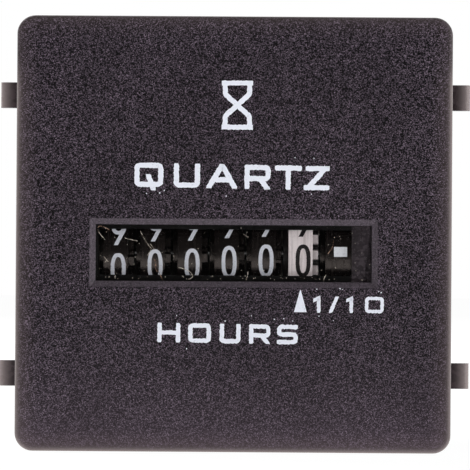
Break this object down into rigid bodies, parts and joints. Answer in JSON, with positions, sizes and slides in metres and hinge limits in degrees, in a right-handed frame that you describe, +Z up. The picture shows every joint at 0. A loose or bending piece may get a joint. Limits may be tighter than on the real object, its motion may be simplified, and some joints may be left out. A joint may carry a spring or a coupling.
{
  "type": "panel hour meter",
  "caption": "Square panel hour meter with number drums behind a bevelled window, a quartz-timed stepping motor, blade terminals and a push-on mounting frame.",
  "frame": {"origin": "middle of the bezel's back face, on the surface of the panel", "axes": "+X right seen from the front, +Y back through the panel, +Z up"},
  "size_m": [0.0534, 0.0566, 0.048],
  "materials": {
    "black_moulding": "fine sparked texture, semi-matt",
    "clip_moulding": "smooth moulded, semi-gloss",
    "clear_lens": "clear, polished",
    "dark_frame": "moulded, matt",
    "black_drum": "moulded, semi-gloss",
    "white_drum": "moulded, semi-gloss",
    "natural_gear": "moulded, natural",
    "brass": "rolled",
    "bright_steel": "ground",
    "stator_iron": "annealed sheet",
    "magnet": "sintered",
    "copper_wire": "enamelled wire",
    "board_green": "solder resist",
    "crystal_can": "drawn",
    "black_package": "moulded",
    "capacitor_sleeve": "shrunk sleeve",
    "resistor_lacquer": "lacquered",
    "tinned_brass": "tin plated"
  },
  "bodies": {
    "case": {"housing": "black_moulding", "rear_cover": "black_moulding", "window_lens": "clear_lens", "counter_frame": "dark_frame", "coil_bobbin": "natural_gear", "gear_bridge": "brass", "core_rivets": "brass", "drum_shaft": "bright_steel", "pinion_shaft": "bright_steel", "reduction_arbor": "bright_steel", "stator_screws": "bright_steel", "counter_screws": "bright_steel", "bridge_screws": "bright_steel", "bobbin_pins": "bright_steel", "stator": "stator_iron", "coil_core": "stator_iron", "coil_winding": "copper_wire", "circuit_board": "board_green", "quartz_crystal": "crystal_can", "control_chip": "black_package", "polarity_diode": "black_package", "reservoir_capacitor": "capacitor_sleeve", "dropper_resistors": "resistor_lacquer", "terminal_positive": "tinned_brass", "terminal_negative": "tinned_brass"},
    "push_on_frame": {"mounting_frame": "clip_moulding"},
    "indicator": {"run_indicator_drum": "black_drum", "drive_gear": "natural_gear"},
    "reduction": {"reduction_wheel": "natural_gear"},
    "rotor": {"rotor_pinion": "natural_gear", "rotor_magnet": "magnet"},
    "ten_thousands": {"drum_ten_thousands": "black_drum"},
    "pinion_1": {"transfer_pinion_1": "natural_gear"},
    "thousands": {"drum_thousands": "black_drum"},
    "pinion_2": {"transfer_pinion_2": "natural_gear"},
    "hundreds": {"drum_hundreds": "black_drum"},
    "pinion_3": {"transfer_pinion_3": "natural_gear"},
    "tens": {"drum_tens": "black_drum"},
    "pinion_4": {"transfer_pinion_4": "natural_gear"},
    "units": {"drum_units": "black_drum"},
    "pinion_5": {"transfer_pinion_5": "natural_gear"},
    "tenths": {"drum_tenths": "white_drum"},
    "pinion_6": {"transfer_pinion_6": "natural_gear"}
  },
  "joints": [
    {"name": "frame_slide", "type": "slide", "parent": "case", "child": "push_on_frame", "axis": [0, 1, 0], "range_m": [-0.0075, 0.042]},
    {"name": "indicator_spin", "type": "hinge", "parent": "case", "child": "indicator", "pos_m": [0, 0.0045, -0.002], "axis": [-1, 0, 0], "continuous": true},
    {"name": "reduction_spin", "type": "hinge", "parent": "case", "child": "reduction", "pos_m": [0, 0.01093, 0.0034], "axis": [-1, 0, 0], "continuous": true},
    {"name": "rotor_spin", "type": "hinge", "parent": "case", "child": "rotor", "pos_m": [0, 0.01803, 0.00215], "axis": [-1, 0, 0], "continuous": true},
    {"name": "ten_thousands_spin", "type": "hinge", "parent": "case", "child": "ten_thousands", "pos_m": [0, 0.0045, -0.002], "axis": [-1, 0, 0], "continuous": true},
    {"name": "pinion_1_spin", "type": "hinge", "parent": "case", "child": "pinion_1", "pos_m": [0, 0.0126, -0.002], "axis": [-1, 0, 0], "continuous": true},
    {"name": "thousands_spin", "type": "hinge", "parent": "case", "child": "thousands", "pos_m": [0, 0.0045, -0.002], "axis": [-1, 0, 0], "continuous": true},
    {"name": "pinion_2_spin", "type": "hinge", "parent": "case", "child": "pinion_2", "pos_m": [0, 0.0126, -0.002], "axis": [-1, 0, 0], "continuous": true},
    {"name": "hundreds_spin", "type": "hinge", "parent": "case", "child": "hundreds", "pos_m": [0, 0.0045, -0.002], "axis": [-1, 0, 0], "continuous": true},
    {"name": "pinion_3_spin", "type": "hinge", "parent": "case", "child": "pinion_3", "pos_m": [0, 0.0126, -0.002], "axis": [-1, 0, 0], "continuous": true},
    {"name": "tens_spin", "type": "hinge", "parent": "case", "child": "tens", "pos_m": [0, 0.0045, -0.002], "axis": [-1, 0, 0], "continuous": true},
    {"name": "pinion_4_spin", "type": "hinge", "parent": "case", "child": "pinion_4", "pos_m": [0, 0.0126, -0.002], "axis": [-1, 0, 0], "continuous": true},
    {"name": "units_spin", "type": "hinge", "parent": "case", "child": "units", "pos_m": [0, 0.0045, -0.002], "axis": [-1, 0, 0], "continuous": true},
    {"name": "pinion_5_spin", "type": "hinge", "parent": "case", "child": "pinion_5", "pos_m": [0, 0.0126, -0.002], "axis": [-1, 0, 0], "continuous": true},
    {"name": "tenths_spin", "type": "hinge", "parent": "case", "child": "tenths", "pos_m": [0, 0.0045, -0.002], "axis": [-1, 0, 0], "continuous": true},
    {"name": "pinion_6_spin", "type": "hinge", "parent": "case", "child": "pinion_6", "pos_m": [0, 0.0126, -0.002], "axis": [-1, 0, 0], "continuous": true}
  ],
  "couplings": [
    {"joint": "reduction_spin", "follows": "indicator_spin", "ratio": -6},
    {"joint": "rotor_spin", "follows": "indicator_spin", "ratio": 30},
    {"joint": "ten_thousands_spin", "follows": "indicator_spin", "ratio": 0.000001},
    {"joint": "pinion_1_spin", "follows": "indicator_spin", "ratio": -0.000002},
    {"joint": "thousands_spin", "follows": "indicator_spin", "ratio": 0.00001},
    {"joint": "pinion_2_spin", "follows": "indicator_spin", "ratio": -0.00002},
    {"joint": "hundreds_spin", "follows": "indicator_spin", "ratio": 0.0001},
    {"joint": "pinion_3_spin", "follows": "indicator_spin", "ratio": -0.0002},
    {"joint": "tens_spin", "follows": "indicator_spin", "ratio": 0.001},
    {"joint": "pinion_4_spin", "follows": "indicator_spin", "ratio": -0.002},
    {"joint": "units_spin", "follows": "indicator_spin", "ratio": 0.01},
    {"joint": "pinion_5_spin", "follows": "indicator_spin", "ratio": -0.02},
    {"joint": "tenths_spin", "follows": "indicator_spin", "ratio": 0.1},
    {"joint": "pinion_6_spin", "follows": "indicator_spin", "ratio": -0.2}
  ]
}
